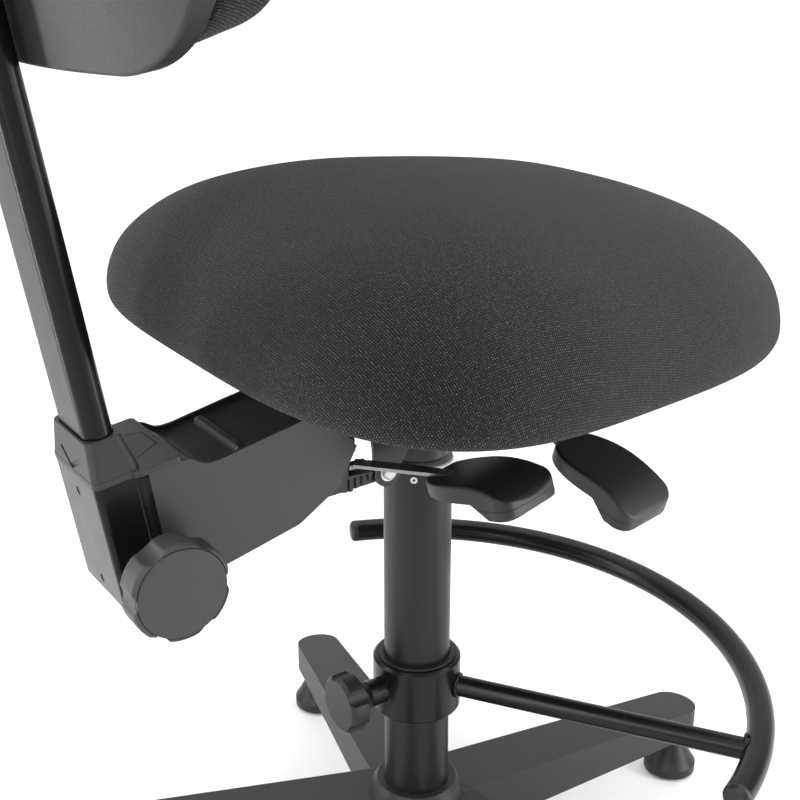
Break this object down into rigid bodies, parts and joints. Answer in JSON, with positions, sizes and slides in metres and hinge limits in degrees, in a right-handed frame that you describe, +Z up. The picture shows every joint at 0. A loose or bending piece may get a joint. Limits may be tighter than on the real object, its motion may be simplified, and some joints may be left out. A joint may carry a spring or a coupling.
{
  "type": "drum throne",
  "caption": "Swivel throne with domed fabric seat, gas lift, star base on glides, foot ring, paddle levers and a height-adjustable reclining backrest.",
  "frame": {"origin": "on the floor under the column's axis", "axes": "+Z up along the column, the sitter faces -Y, the backrest is at +Y and both levers are on the -X side"},
  "size_m": [0.6295, 0.6416, 0.9522],
  "materials": {
    "seat_fabric": "black woven upholstery fabric with a fine brick weave",
    "post_paint": "semi-gloss black powder coat",
    "ring_paint": "satin black powder coat",
    "column_paint": "satin dark grey paint",
    "cylinder_paint": "satin black paint",
    "arm_paint": "satin black e-coat on pressed steel",
    "mechanism_steel": "satin black coated pressed steel",
    "zinc_steel": "zinc plated",
    "bright_steel": "ground steel",
    "base_plastic": "black glass-filled nylon, fine grain",
    "glide_plastic": "black moulded plastic",
    "grip_plastic": "soft matte black plastic",
    "knob_plastic": "fine-textured black plastic",
    "collar_plastic": "fine-textured black plastic",
    "trim_plastic": "black plastic",
    "guide_plastic": "light grey acetal",
    "shell_plastic": "black moulded shell, fine grain",
    "pad_rubber": "black rubber",
    "plywood": "birch plywood"
  },
  "bodies": {
    "base": {"base_star": "base_plastic", "glide_bodies": "glide_plastic", "glide_stems": "zinc_steel", "glide_pads": "pad_rubber", "column_tube": "column_paint", "column_rivet": "zinc_steel", "guide_bushing": "guide_plastic", "column_floor": "column_paint", "bearing_race_lower": "bright_steel"},
    "lift_rod": {"bearing_race_upper": "bright_steel", "bearing_balls": "bright_steel", "piston_rod": "bright_steel", "rod_clip": "zinc_steel", "lift_buffer": "pad_rubber", "piston": "trim_plastic"},
    "chassis": {"gas_cylinder": "cylinder_paint", "cylinder_gland": "trim_plastic", "taper_socket": "mechanism_steel", "mech_housing": "mechanism_steel", "tilt_pin": "zinc_steel", "tilt_clamp_bolt": "zinc_steel", "recline_pins": "zinc_steel", "height_lever_pin": "zinc_steel"},
    "lift_valve": {"valve_pin": "bright_steel"},
    "height_lever": {"height_lever_bar": "mechanism_steel", "height_paddle": "grip_plastic"},
    "seat": {"seat_plate": "arm_paint", "seat_board": "plywood", "tee_nuts": "zinc_steel", "seat_screws": "zinc_steel", "seat_cushion": "seat_fabric"},
    "arm": {"arm_bracket": "arm_paint", "arm_yoke": "mechanism_steel", "receiver": "post_paint", "receiver_screws": "zinc_steel", "collar_cap": "collar_plastic", "lever_block": "trim_plastic", "lock_lever_pin": "bright_steel"},
    "lock_lever": {"lock_lever_bar": "bright_steel", "lock_paddle": "grip_plastic"},
    "post_shoe": {"clamp_pad": "trim_plastic"},
    "post_knob": {"knob_screw": "zinc_steel", "knob_grip": "knob_plastic", "knob_face": "knob_plastic"},
    "post": {"back_post": "post_paint", "post_plugs": "trim_plastic", "back_plate": "post_paint", "back_screws": "zinc_steel", "back_shell": "shell_plastic", "back_board": "plywood", "back_cushion": "seat_fabric"},
    "footrest": {"foot_ring": "ring_paint", "ring_plugs": "trim_plastic", "ring_spokes": "ring_paint", "ring_collar": "ring_paint", "ring_liner": "trim_plastic"},
    "ring_shoe": {"ring_clamp_pad": "trim_plastic"},
    "ring_knob": {"ring_clamp_screw": "zinc_steel", "ring_clamp_knob": "grip_plastic"}
  },
  "joints": [
    {"name": "swivel", "type": "hinge", "parent": "base", "child": "lift_rod", "pos_m": [0, 0, 0.066], "axis": [0, 0, 1], "continuous": true},
    {"name": "lift", "type": "slide", "parent": "lift_rod", "child": "chassis", "axis": [0, 0, 1], "range_m": [0, 0.2]},
    {"name": "height_lever_pull", "type": "hinge", "parent": "chassis", "child": "height_lever", "pos_m": [-0.02, -0.056, 0.454], "axis": [0, 1, 0], "range_deg": [0, 10], "stiffness_Nm_per_rad": 2},
    {"name": "valve_press", "type": "slide", "parent": "chassis", "child": "lift_valve", "axis": [0, 0, 1], "range_m": [-0.0038, 0]},
    {"name": "seat_tilt", "type": "hinge", "parent": "chassis", "child": "seat", "pos_m": [0, -0.078, 0.46], "axis": [1, 0, 0], "range_deg": [-6, 0]},
    {"name": "back_recline", "type": "hinge", "parent": "chassis", "child": "arm", "pos_m": [0, 0.0465, 0.4135], "axis": [1, 0, 0], "range_deg": [-15, 2]},
    {"name": "lock_lever_pull", "type": "hinge", "parent": "arm", "child": "lock_lever", "pos_m": [-0.031, 0.073, 0.4245], "axis": [0, 1, 0], "range_deg": [-18, 3]},
    {"name": "post_clamp_travel", "type": "slide", "parent": "arm", "child": "post_shoe", "axis": [-1, 0, 0], "range_m": [0, 0.0025]},
    {"name": "post_clamp_turn", "type": "hinge", "parent": "post_shoe", "child": "post_knob", "pos_m": [-0.06, 0.2212, 0.3948], "axis": [-1, 0, 0], "range_deg": [0, 720]},
    {"name": "post_height", "type": "slide", "parent": "arm", "child": "post", "axis": [0, 0.1564, 0.9877], "range_m": [0, 0.06]},
    {"name": "ring_height", "type": "slide", "parent": "base", "child": "footrest", "axis": [0, 0, 1], "range_m": [-0.05, 0.11]},
    {"name": "ring_clamp_travel", "type": "slide", "parent": "footrest", "child": "ring_shoe", "axis": [0, 1, 0], "range_m": [0, 0.0025]},
    {"name": "ring_clamp_turn", "type": "hinge", "parent": "ring_shoe", "child": "ring_knob", "pos_m": [0, 0.06, 0.2185], "axis": [0, 1, 0], "range_deg": [0, 720]}
  ],
  "couplings": [
    {"joint": "valve_press", "follows": "height_lever_pull", "m_per_rad": -0.021},
    {"joint": "post_clamp_travel", "follows": "post_clamp_turn", "m_per_rad": 0.00019894},
    {"joint": "ring_clamp_travel", "follows": "ring_clamp_turn", "m_per_rad": 0.00019894}
  ]
}
